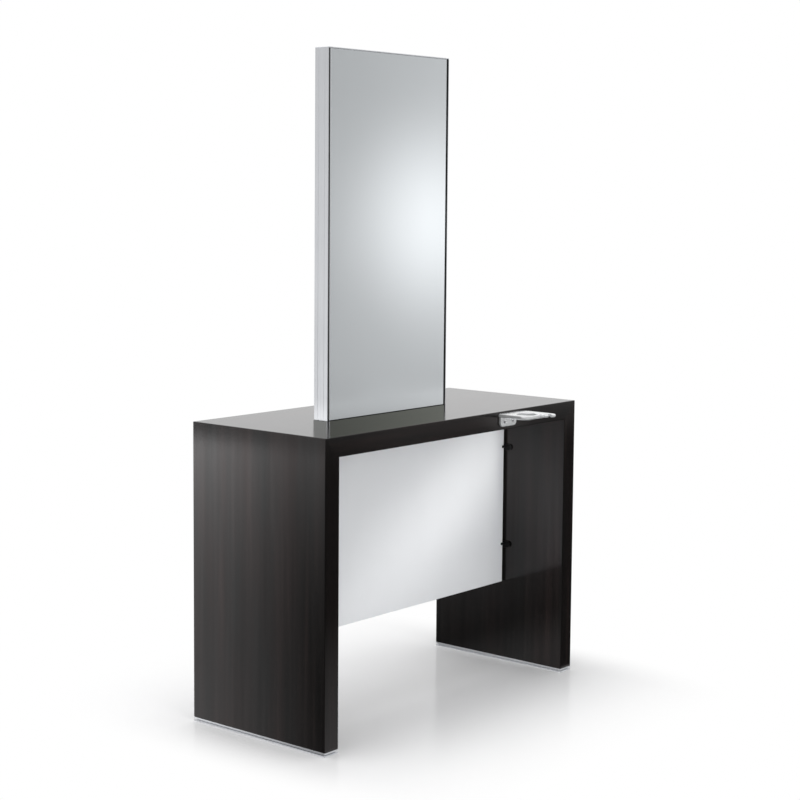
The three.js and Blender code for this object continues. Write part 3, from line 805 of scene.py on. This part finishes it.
def dense(points):
    """Put evenly spaced points on every side of a closed outline."""
    share = np.linspace(0, 1, POINTS_PER_SIDE, endpoint=False)[None, :, None]
    start, stop = points[:, None], np.roll(points, -1, axis=0)[:, None]
    return (start + share * (stop - start)).reshape(-1, 2)


def ring_slab(outline, centre, hole, angle, top, thickness, rim, closed):
    """A slab between a round hole and an outline.

    The section at one angle is a rectangle from hole to outline and from top - thickness to top,
    each corner a quarter circle of radius rim. It is carried round the centre by the angle.
    """
    outer = reach_at(dense(outline), centre, angle)
    turn = np.radians(np.linspace(0, 90, RIM_STEPS))
    quarter = np.stack([np.cos(turn), np.sin(turn)])
    next_quarter = np.stack([-quarter[1], quarter[0]])
    flat, rise = np.concatenate([quarter, next_quarter, -quarter, -next_quarter], axis=1)
    outside = np.repeat([True, False, False, True], RIM_STEPS)
    above = np.repeat([True, True, False, False], RIM_STEPS)
    radius = np.where(outside, outer[:, None] - rim, hole + rim) + rim * flat
    height = np.where(above, top - rim, top - thickness + rim) + rim * rise
    ring_x = centre[0] + radius * np.cos(angle)[:, None]
    ring_y = centre[1] + radius * np.sin(angle)[:, None]
    return stacked(np.stack([ring_x, ring_y, np.broadcast_to(height, radius.shape)], axis=-1), joined=closed)


plate_outline = section(
    corner((PLATE_LEFT, PLATE_REAR), (0, 0)),
    arc((PLATE_LEFT + FRONT_ROUND, PLATE_FRONT + FRONT_ROUND), FRONT_ROUND, 180, 270, ROUND_STEPS),
    arc((PLATE_RIGHT - TIP_ROUND, PLATE_FRONT + TIP_ROUND), TIP_ROUND, 270, 360, TIP_STEPS),
    arc((PLATE_RIGHT - REAR_ROUND, PLATE_REAR - REAR_ROUND), REAR_ROUND, 0, 90, ROUND_STEPS),
)[0]
round_angles = np.linspace(-np.pi, np.pi, RING_STEPS, endpoint=False)
plate_shell = ring_slab(plate_outline, RING_CENTRE, RING_RADIUS, round_angles,
                        top=0.0, thickness=PLATE_THICKNESS, rim=RIM, closed=True)

lobe_left = LOBE_CENTRE[0] - LOBE_RADIUS
lobe_outline = section(
    arc(LOBE_CENTRE, LOBE_RADIUS, 180, 360, LOBE_STEPS),
    corner((PLATE_RIGHT, NECK_REAR), (0, 0)),
    corner((lobe_left - NOTCH_RADIUS, NECK_REAR), (0, 0)),
    arc((lobe_left - NOTCH_RADIUS, LOBE_CENTRE[1]), NOTCH_RADIUS, 90, 0, NOTCH_STEPS),
)[0]
slot_angles = np.radians(np.linspace(SLOT_MIDDLE + SLOT_HALF, SLOT_MIDDLE - SLOT_HALF + 360, RING_STEPS))
lobe_shell = ring_slab(lobe_outline, LOBE_CENTRE, LOBE_HOLE, slot_angles,
                       top=-LOBE_SINK, thickness=LOBE_THICKNESS, rim=LOBE_RIM, closed=False)
print("plate points", len(plate_shell[0]), "small ring points", len(lobe_shell[0]))

# %% [markdown]
# The flange is a bar in X and Z carried along Y, with large round lower corners. The screws are
# turned. A hexagon could be cut into each head, but the rings of points round the socket can follow
# it: its edge lies at the socket's half width divided by the cosine of the angle from the middle of
# the nearest flat.

# %% Flange and screws
FLANGE_LEFT, FLANGE_RIGHT = -0.053, 0.029
FLANGE_FRONT, FLANGE_REAR = -0.0073, -0.0003
FLANGE_BOTTOM = -0.041
FLANGE_TOP = -0.006
FLANGE_CORNER = 0.013
FLANGE_EASE = 0.0015
SCREW_HEAD = 0.004
SCREW_CONE = 0.003
SCREW_SHANK = 0.002
SCREW_LENGTH = 0.030
SCREW_DOME = 0.0008
CROWN_INNER = 0.55
CROWN_STEPS = 5
SOCKET_HALF = 0.0018
SOCKET_DEPTH = 0.0014
SEAT_GAP = 0.0002

flange_outline = section(
    corner((FLANGE_RIGHT, FLANGE_TOP), (1, 0)),
    corner((FLANGE_LEFT, FLANGE_TOP), (-1, 0)),
    arc((FLANGE_LEFT + FLANGE_CORNER, FLANGE_BOTTOM + FLANGE_CORNER), FLANGE_CORNER, 180, 270, ROUND_STEPS),
    arc((FLANGE_RIGHT - FLANGE_CORNER, FLANGE_BOTTOM + FLANGE_CORNER), FLANGE_CORNER, 270, 360, ROUND_STEPS),
)
flange_shell = eased_bar(flange_outline, FLANGE_FRONT, FLANGE_REAR, "Y", FLANGE_EASE)


def screw_shell():
    """A countersunk screw along -Z with its head's rim at z = 0, domed, with a hexagon socket."""
    share = np.linspace(1, CROWN_INNER, CROWN_STEPS)
    crown = np.stack([SCREW_HEAD * share, SCREW_DOME * (1 - share ** 2) / (1 - CROWN_INNER ** 2)], axis=1)
    bottom = SCREW_DOME - SOCKET_DEPTH
    socket = [(SOCKET_HALF, SCREW_DOME), (SOCKET_HALF, bottom), (0, bottom)]
    shaft = [(0, -SCREW_LENGTH), (SCREW_SHANK, SCREW_SHANK - SCREW_LENGTH), (SCREW_SHANK, -SCREW_CONE)]
    profile = np.concatenate([shaft, crown, socket])
    vertices, faces = turned(profile)
    rings = vertices.reshape(len(profile), TURN_STEPS, 3)
    angle = np.linspace(0, 2 * np.pi, TURN_STEPS, endpoint=False)
    hexagon = 1 / np.cos((angle + np.pi / 6) % (np.pi / 3) - np.pi / 6)
    rings[-len(socket):, :, :2] *= hexagon[None, :, None]
    return vertices, faces


def seat_shell():
    """The hole for a screw: shank and cone with a small gap, open above the head."""
    shank, head = SCREW_SHANK + SEAT_GAP, SCREW_HEAD + SEAT_GAP
    return turned([(0, -SCREW_LENGTH), (shank, -SCREW_LENGTH), (shank, -SCREW_CONE - SEAT_GAP),
                   (head, -SEAT_GAP), (head, SCREW_CONE), (0, SCREW_CONE)])


print("flange points", len(flange_shell[0]), "screw points", len(screw_shell()[0]))


# %% The whole holder
def moved(shell, turn, shift):
    """A shell turned by a matrix and then shifted."""
    vertices, faces = shell
    return vertices @ turn.T + shift, faces


for end_name, end in ENDS.items():
    low, high = spans(f"{end_name}_tool_holder")
    origin_x = low[0] - PLATE_LEFT if end < 0 else high[0] + PLATE_LEFT
    edge = (origin_x, front_y if end < 0 else rear_y, high[2])
    to_edge = np.diag([-end, -end, 1.0])
    head_outward = np.array([[1.0, 0.0, 0.0], [0.0, 0.0, end], [0.0, -end, 0.0]])
    holder = solid(f"{end_name}_holder_casting", moved(plate_shell, to_edge, edge))
    combine(holder, [moved(shell, to_edge, edge) for shell in (lobe_shell, flange_shell)], "UNION")
    seats = []
    for index in (1, 2):
        name = f"{end_name}_holder_screw_{index}"
        low, high = spans(name)
        middle = (low + high) / 2
        rim_y = low[1] + SCREW_DOME if end < 0 else high[1] - SCREW_DOME
        head = (middle[0], rim_y, middle[2])
        seats.append(moved(seat_shell(), head_outward, head))
        screw = solid(f"{name}_turned", moved(screw_shell(), head_outward, head))
        dress(screw, zinc, "zinc_steel", "station", name)
    combine(holder, seats, "DIFFERENCE")
    dress(holder, casting, "polished_casting", "station", f"{end_name}_tool_holder")

# %% [markdown]
# ## Finishes of the solids that stay
# The mirrors keep their exact bevels, and the pieces inside the slabs and the tower keep their
# solids too. They could be dressed as well, but nothing of their edges shows. Each gets the finish
# of its own material.

# %% Finishes of the solids that stay
KEPT = {"mirror_glass": silvered, "zinc_steel": zinc, "core_board": board, "black_trim": plastic}
slots = {row["node"]: row["material_slot"] for row in frame["record"]["subparts"]}
shown = {name: solid_node for name, solid_node in frame["nodes"].items() if not solid_node.hide_render}
for name, solid_node in shown.items():
    solid_node.data.materials.clear()
    solid_node.data.materials.append(KEPT[slots[name]])
print("solids that stay", sorted(shown))

# %% [markdown]
# ## World
# The station stands in front of white. More light could make the background white, but would bleach
# the panel too. So the world is white only where the lens, or a reflection, sees it, and a plain soft
# grey where it lights the surfaces.

# %% World
AMBIENT = 0.62

world = bpy.data.worlds.new("white_studio")
world.use_nodes = True
bpy.context.scene.world = world


def seen_directly(tree):
    """One where the lens, a reflection or a view through glass meets the surface, else zero."""
    path = node(tree, "ShaderNodeLightPath", {}).outputs
    return calculate("MAXIMUM", *(path[f"Is {kind} Ray"] for kind in ("Camera", "Glossy", "Transmission")))


strength = between(seen_directly(world.node_tree), AMBIENT, 1.0, start=0.0, stop=1.0)
fill(world.node_tree.nodes["Background"], {"Color": (1.0, 1.0, 1.0, 1.0), "Strength": strength})
print("world strength", AMBIENT, "to 1")

# %% [markdown]
# ## Floor
# The floor is pale and glossy. It shades and mirrors the table close by, and further out it has to
# turn into the white of the background. A curved backdrop would shade there, so the floor is a flat
# disc that glows white with the distance from the table. Mirrors see it as a light grey, and from
# below it is clear, so that the underside of the table can be looked at.

# %% Floor
FLOOR_RADIUS = 30.0
FLOOR_SIDES = 96
FLOOR_DROP = 0.0002
FADE_REACH = 0.62
FADE_STRETCH = (2.35, 1.0, 0.0)
FADE_CENTRE = (0.0, 0.03, 0.0)
FADE_START = (outer_x, rear_y, 1.0)
FLOOR_MIRRORED = 0.72
LEAST_MIRRORED = 0.6


def vector_math(operation, first, second=(0.0, 0.0, 0.0)):
    """A vector operation of two vectors."""
    made = node(first.id_data, "ShaderNodeVectorMath", {0: first, 1: second}, operation=operation)
    return made.outputs["Value" if operation in ("LENGTH", "DISTANCE", "DOT_PRODUCT") else "Vector"]


def smooth(value, stop, low, high):
    """A smooth step from low at zero to high at stop."""
    inputs = {"Value": value, "From Max": stop, "To Min": low, "To Max": high}
    made = node(value.id_data, "ShaderNodeMapRange", inputs, interpolation_type="SMOOTHSTEP")
    return made.outputs["Result"]


def one_sided(front):
    """Show a surface from its front, and let every ray pass from behind."""
    tree = front.id_data
    clear = node(tree, "ShaderNodeBsdfTransparent", {}).outputs[0]
    behind = node(tree, "ShaderNodeNewGeometry", {}).outputs["Backfacing"]
    mixed = node(tree, "ShaderNodeMixShader", {0: behind, 1: front, 2: clear}).outputs[0]
    fill(tree.nodes["Material Output"], {"Surface": mixed})


def floor_finish():
    """A pale lacquered floor that turns white with the distance from the table.

    The distance is the length of max(|p - centre| - half, 0), where half is the table's half size,
    and it counts more towards the ends of the table. In mirrors the floor is a light grey.
    """
    material = finish("pale_floor", IOR=1.14)
    tree = material.node_tree
    cloud = noise(material, 1.2, detail=2.0)
    drive(material, Base_Color=ramp(cloud, [(0.3, (0.93, 0.93, 0.935)), (0.7, (0.95, 0.95, 0.955))]),
          Roughness=between(cloud, 0.12, 0.16))
    place = vector_math("SUBTRACT", object_place(material), FADE_CENTRE)
    beyond = vector_math("SUBTRACT", vector_math("ABSOLUTE", place), FADE_START)
    outside = vector_math("MULTIPLY", vector_math("MAXIMUM", beyond), FADE_STRETCH)
    fade = smooth(vector_math("LENGTH", outside), FADE_REACH, 0.0, 1.0)
    path = node(tree, "ShaderNodeLightPath", {}).outputs
    mirrored = calculate("MULTIPLY", path["Is Glossy Ray"], LEAST_MIRRORED)
    share = calculate("MAXIMUM", calculate("MULTIPLY", fade, seen_directly(tree)), mirrored)
    bright = between(path["Is Camera Ray"], FLOOR_MIRRORED, 1.0, start=0.0, stop=1.0)
    white = node(tree, "ShaderNodeEmission", {"Strength": bright}).outputs[0]
    surface = tree.nodes["Principled BSDF"].outputs[0]
    one_sided(node(tree, "ShaderNodeMixShader", {0: share, 1: surface, 2: white}).outputs[0])
    return material


def sheet(name, corners, material):
    """A flat sheet with the given corners."""
    mesh = bpy.data.meshes.new(name)
    mesh.from_pydata(corners.tolist(), [], [list(range(len(corners)))])
    mesh.materials.append(material)
    made = put(name, mesh)
    return made


angle = np.linspace(0, 2 * np.pi, FLOOR_SIDES, endpoint=False)
rim = FLOOR_RADIUS * np.stack([np.cos(angle), np.sin(angle), np.zeros(FLOOR_SIDES)], axis=1)
sheet("floor", rim - (0.0, 0.0, FLOOR_DROP), floor_finish())
print("floor radius", FLOOR_RADIUS)

# %% [markdown]
# ## Lamps
# A large soft box hangs overhead, and another one in front of the table fills the space under it. A
# small one with a narrow beam lights the right half of the white panel. Lamps could make the
# reflections too, but would show as hard white shapes in the dark slabs. So they are hidden from the
# lens and from reflections, and only light.

# %% Lamps
PANEL_BEAM = np.radians(34)


def soft_box(name, place, aim, size, radiance):
    """A rectangular lamp whose face shows the given radiance: power is radiance x pi x area."""
    lamp = bpy.data.lights.new(name, "AREA")
    lamp.shape = "RECTANGLE"
    lamp.size, lamp.size_y = size
    lamp.energy = radiance * np.pi * size[0] * size[1]
    made = put(name, lamp)
    made.location = place
    made.rotation_euler = (Vector(aim) - Vector(place)).to_track_quat("-Z", "Y").to_euler()
    made.visible_camera = made.visible_glossy = False
    print("lamp", name)
    return lamp


soft_box("overhead_box", place=(-0.4, 0.5, 3.6), aim=(0.0, 0.0, 0.8), size=(3.4, 3.4), radiance=2.1)
soft_box("fill_box", place=(-1.3, -5.0, 1.4), aim=(0.1, -0.03, 0.5), size=(2.5, 2.5), radiance=2.6)
panel_lamp = soft_box("panel_box", place=(-1.6, -2.6, 0.55), aim=(0.68, -0.03, 0.62), size=(0.6, 0.5),
                      radiance=0.72)
panel_lamp.spread = PANEL_BEAM

# %% [markdown]
# ## Cards
# The dark slabs and the mirrors live from what they reflect. A photographer sets cards round such
# furniture, so cards stand here too. One image of a studio on the world could do the same, but each
# face needs a reflection of its own. A card is a flat sheet of light that shows in reflections only,
# and only from its front. Its light is made of straight slopes, smooth steps and round blooms on
# Object coordinates, which are added and multiplied.


# %% Tools for cards
def card(name, near_corner, across, upward, glow, tint=(1.0, 1.0, 1.0)):
    """A card from a corner along two sides, with its front where across x upward points.

    glow is the strength of its light: a number, or a function of the place on the card.
    """
    sides = np.array([np.zeros(3), across, np.add(across, upward), upward])
    material = finish(name)
    strength = glow(object_place(material)) if callable(glow) else glow
    light = {"Color": (*tint, 1.0), "Strength": strength}
    one_sided(node(material.node_tree, "ShaderNodeEmission", light).outputs[0])
    made = sheet(name, near_corner + sides, material)
    made.visible_camera = made.visible_diffuse = made.visible_shadow = False
    print("card", name)


def axis_slope(where, axis, first, last):
    """A value that runs from first to last, each a (place, value) pair on an axis, and no further."""
    (start, low), (stop, high) = first, last
    return between(part_of(where, axis), low, high, start, stop)


def gradient(axis, first, last):
    """A glow that is one slope along an axis."""
    return lambda where: axis_slope(where, axis, first, last)


def slope(where, start, stop, low, high):
    """A value that runs from low at the place start to high at the place stop, and no further."""
    way = np.subtract(stop, start)
    away = vector_math("SUBTRACT", where, start)
    share = vector_math("DOT_PRODUCT", away, (way / np.sum(way ** 2)).tolist())
    return between(share, low, high, start=0.0, stop=1.0)


def bloom(where, centre, radius, light):
    """A soft round light about a place: light in the middle, nothing from the radius on."""
    return smooth(vector_math("DISTANCE", where, centre), radius, light, 0.0)


print("tools for cards ready")

# %% [markdown]
# A long dark card leans away from the table, and the front edges of the slabs show it. A bright card
# beside the left leg gives the outer face of that leg its light, from the far top to the near foot.
# A third one lies on the floor and keeps the inner face of the right leg dark.

# %% Cards for the dark slabs
DARK = 0.04
CARD_LIFT = 0.003
FRONT_RISE = 0.754
FRONT_TOP = CARD_LIFT + FRONT_RISE
HOLDER_SPOT = (1.20, -0.99, 0.70)
LEFT_RISE = 0.70


def front_glow(where):
    """Black, lighter at the foot of the near leg, along the table's edge, and before the tool holder."""
    foot = axis_slope(where, "Z", (0.28, 0.0), (0.0, 0.5))
    near = axis_slope(where, "X", (0.45, 0.0), (-0.35, 1.0))
    ending = axis_slope(where, "X", (-0.60, 1.0), (-0.75, 0.0))
    edge = axis_slope(where, "Z", (0.62, 0.0), (0.70, 0.22))
    away = axis_slope(where, "X", (0.15, 0.0), (0.60, 1.0))
    spot = bloom(where, HOLDER_SPOT, radius=0.12, light=0.8)
    near_foot = calculate("MULTIPLY", foot, near, ending)
    return calculate("ADD", near_foot, calculate("MULTIPLY", edge, away), DARK, spot)


def left_glow(where):
    """Bright at the far top and dark at the near foot: 0.1 + v + s^3 (1.15 + 1.45 v).

    v runs from the near to the far edge of the leg, as its face shows the card, and s from foot to
    top. The near end fades to dark. So does the far end of the foot, which only the other leg shows.
    """
    far = slope(where, (0.0, -0.26, 0.0), (0.0, -0.0293, -0.2583), 0.1, 1.1)
    top = axis_slope(where, "Z", (0.0, 0.0), (LEFT_RISE, 1.0))
    far_top = calculate("MULTIPLY", top, top, top, between(far, 1.15, 2.60, start=0.1, stop=1.1))
    ending = slope(where, (0.0, -0.270, 0.0), (0.0, -0.353, 0.0746), 1.0, DARK)
    beyond = axis_slope(where, "Y", (0.36, 0.0), (0.44, -0.92))
    foot = axis_slope(where, "Z", (0.05, 1.0), (0.15, 0.0))
    shade = calculate("ADD", calculate("MULTIPLY", beyond, foot), 1.0)
    return calculate("MULTIPLY", calculate("ADD", far, far_top), ending, shade)


def under_glow(where):
    """Dark under the table, and lighter before and behind it."""
    before = axis_slope(where, "Y", (0.25, 0.0), (-0.05, 0.32))
    return calculate("ADD", before, axis_slope(where, "Y", (0.3, 0.10), (2.2, 0.75)))


card("front_card", (4.0, -0.29, CARD_LIFT), across=(-8.0, 0.0, 0.0),
     upward=(0.0, -FRONT_RISE, FRONT_RISE), glow=front_glow)
card("left_card", (-0.606, -0.33, CARD_LIFT), across=(0.0, 1.5, 0.0),
     upward=(-LEFT_RISE, 0.0, LEFT_RISE), glow=left_glow)
card("under_card", (-0.598, -0.25, 0.002), across=(1.196, 0.0, 0.0), upward=(0.0, 2.45, 0.0), glow=under_glow)

# %% [markdown]
# Close before the white panel stands a card with a soft slanting strip, which the lacquer shows as
# its sheen.

# %% Card for the white panel
KNEE_Y = -0.06
SHEEN_LIGHT = 2.0


def knee_glow(where):
    """A soft bright strip that slants up to the right, and is brighter there."""
    offset = slope(where, (0.258, 0.0, 0.256), (0.002, 0.0, 0.684), -1.0, 1.0)
    strip = smooth(size_of(offset), 1.0, SHEEN_LIGHT, 0.1)
    return calculate("MULTIPLY", axis_slope(where, "X", (-0.30, 0.56), (0.50, 1.40)), strip)


card("knee_card", (0.55, KNEE_Y, 0.24), across=(-1.1, 0.0, 0.0), upward=(0.0, 0.0, 0.60), glow=knee_glow)

# %% [markdown]
# The front mirror shows a grey card with a white bloom, which starts at the height where the dark
# front card ends, and at its foot a grey card on the worktop. A screen in the grey of the floor, a
# trace darker higher up, keeps the bright left card out of the rear mirror.

# %% Cards for the mirrors
CARD_Y = -0.97
MIRROR_GREY = 0.50
BLOOM_PLACE = (1.30, CARD_Y, 1.44)
BLOOM_RADIUS = 0.54
BLOOM_LIGHT = 0.92
ON_TOP = top_level + 0.0006


def mirror_glow(where):
    """Grey, lighter to the right and at the foot, with a soft bloom of white."""
    grey = axis_slope(where, "X", (0.70, MIRROR_GREY - 0.05), (1.50, MIRROR_GREY + 0.10))
    foot = axis_slope(where, "Z", (FRONT_TOP, 1.1), (1.15, 1.0))
    light = bloom(where, BLOOM_PLACE, BLOOM_RADIUS, BLOOM_LIGHT)
    return calculate("ADD", calculate("MULTIPLY", grey, foot), light)


card("mirror_card", (2.6, CARD_Y, FRONT_TOP), across=(-2.8, 0.0, 0.0), upward=(0.0, 0.0, 2.23),
     glow=mirror_glow)
card("mirror_foot_card", (-0.33, front_y, ON_TOP), across=(0.92, 0.0, 0.0), upward=(0.0, 0.23, 0.0),
     glow=gradient("X", (-0.33, 0.39), (0.45, 0.63)))
card("screen_card", (-0.59, 0.27, 0.30), across=(0.0, 0.98, 0.0), upward=(0.0, 0.0, 0.90),
     glow=gradient("Z", (0.3, FLOOR_MIRRORED), (1.2, FLOOR_MIRRORED - 0.02)))

# %% [markdown]
# The left side of the tower shows a white card beyond the left end of the table, brighter towards
# the worktop, and a bright one that lies on the worktop. The worktop itself would mirror the tower
# too brightly, so two dull veils hang close before the mirror and the side, and it mirrors these.

# %% Cards for the tower's side and the worktop
VEIL_GAP = 0.002
VEIL_TINT = (0.95, 1.0, 0.90)
SIDE_VEIL_TINT = (0.98, 1.0, 0.98)
SIDE_VEIL_GREY = 0.40
mirror_low, mirror_high = spans("front_mirror")
mirror_width, _, mirror_height = mirror_high - mirror_low
side_low, side_high = spans("tower_left_profile")
side_depth = side_high[1] - side_low[1]


def side_foot_glow(where):
    """Bright, a little more so at the far end, and dark where the rear mirror would show it."""
    light = axis_slope(where, "Y", (front_y, 1.4), (rear_y, 1.6))
    return calculate("MULTIPLY", light, slope(where, (-0.336, 0.04, 0.0), (-0.306, 0.07, 0.0), 1.0, 0.06))


card("side_card", (-0.90, -0.10, 0.86), across=(0.0, 0.74, 0.0), upward=(0.0, 0.0, 1.24),
     glow=gradient("Z", (0.86, 1.28), (2.10, 0.85)))
card("side_foot_card", (-0.60, -0.07, ON_TOP), across=(0.26, 0.0, 0.0), upward=(0.0, 0.33, 0.0),
     glow=side_foot_glow)
card("veil_card", mirror_low - (0.0, VEIL_GAP, 0.0), across=(mirror_width, 0.0, 0.0),
     upward=(0.0, 0.0, mirror_height), glow=gradient("X", (-0.33, 0.15), (0.21, 0.27)), tint=VEIL_TINT)
card("side_veil_card", (side_low[0] - VEIL_GAP, side_high[1], side_low[2]), across=(0.0, -side_depth, 0.0),
     upward=(0.0, 0.0, mirror_height), glow=SIDE_VEIL_GREY, tint=SIDE_VEIL_TINT)
